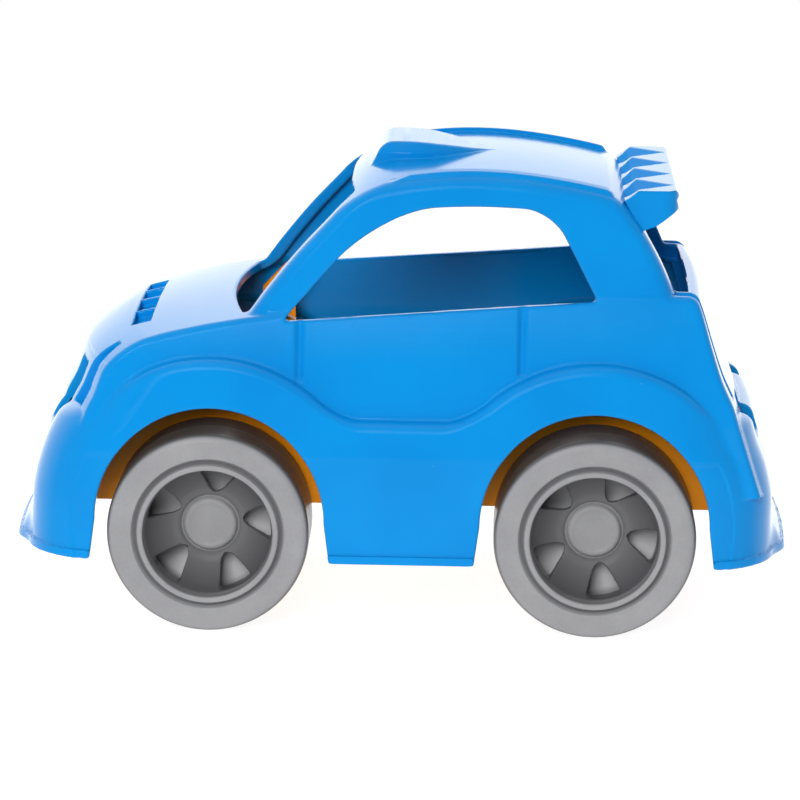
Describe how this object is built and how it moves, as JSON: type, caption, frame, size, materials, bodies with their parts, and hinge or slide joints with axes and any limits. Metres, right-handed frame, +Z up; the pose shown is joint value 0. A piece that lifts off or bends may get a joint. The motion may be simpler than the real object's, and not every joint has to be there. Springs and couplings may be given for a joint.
{
  "type": "toy car",
  "caption": "Small pull back toy car with a moulded open-window body, a finned roof spoiler, dished spoke wheels and a spring motor on the rear axle.",
  "frame": {"origin": "on the ground under the middle of the car's outline", "axes": "+Z up, nose towards -X, the car's left side towards -Y"},
  "size_m": [0.121, 0.063, 0.0738],
  "materials": {
    "blue_plastic": "glossy moulded blue plastic",
    "amber_plastic": "glossy moulded amber plastic",
    "grey_plastic": "satin moulded grey plastic with a faint metallic flow",
    "motor_plastic": "matt black moulded plastic",
    "gear_plastic": "natural white acetal",
    "steel": "bright zinc plated steel",
    "spring_steel": "blued spring steel"
  },
  "bodies": {
    "car": {"body_shell": "blue_plastic", "roof_spoiler": "blue_plastic", "chassis_tray": "amber_plastic", "motor_case": "motor_plastic", "motor_cover": "motor_plastic", "mainspring": "spring_steel", "idler_pin": "steel", "body_screws": "steel", "motor_screws": "steel"},
    "front_wheels": {"front_axle": "steel", "front_left_wheel_face": "grey_plastic", "front_left_wheel_back": "grey_plastic", "front_right_wheel_face": "grey_plastic", "front_right_wheel_back": "grey_plastic"},
    "rear_wheels": {"rear_axle": "steel", "axle_pinion": "gear_plastic", "rear_left_wheel_face": "grey_plastic", "rear_left_wheel_back": "grey_plastic", "rear_right_wheel_face": "grey_plastic", "rear_right_wheel_back": "grey_plastic"},
    "idler": {"idler_gear": "gear_plastic"},
    "spring_drive": {"spring_arbor": "steel", "spring_gear": "gear_plastic"}
  },
  "joints": [
    {"name": "front_axle_spin", "type": "hinge", "parent": "car", "child": "front_wheels", "pos_m": [-0.0293, 0, 0.01555], "axis": [0, 1, 0], "continuous": true},
    {"name": "rear_axle_spin", "type": "hinge", "parent": "car", "child": "rear_wheels", "pos_m": [0.0301, 0, 0.01555], "axis": [0, 1, 0], "continuous": true},
    {"name": "idler_spin", "type": "hinge", "parent": "car", "child": "idler", "pos_m": [0.03589, 0, 0.02244], "axis": [0, 1, 0], "continuous": true},
    {"name": "spring_spin", "type": "hinge", "parent": "car", "child": "spring_drive", "pos_m": [0.02769, 0, 0.02818], "axis": [0, 1, 0], "continuous": true}
  ],
  "couplings": [
    {"joint": "idler_spin", "follows": "rear_axle_spin", "ratio": -0.38462},
    {"joint": "spring_spin", "follows": "rear_axle_spin", "ratio": 0.12821}
  ]
}
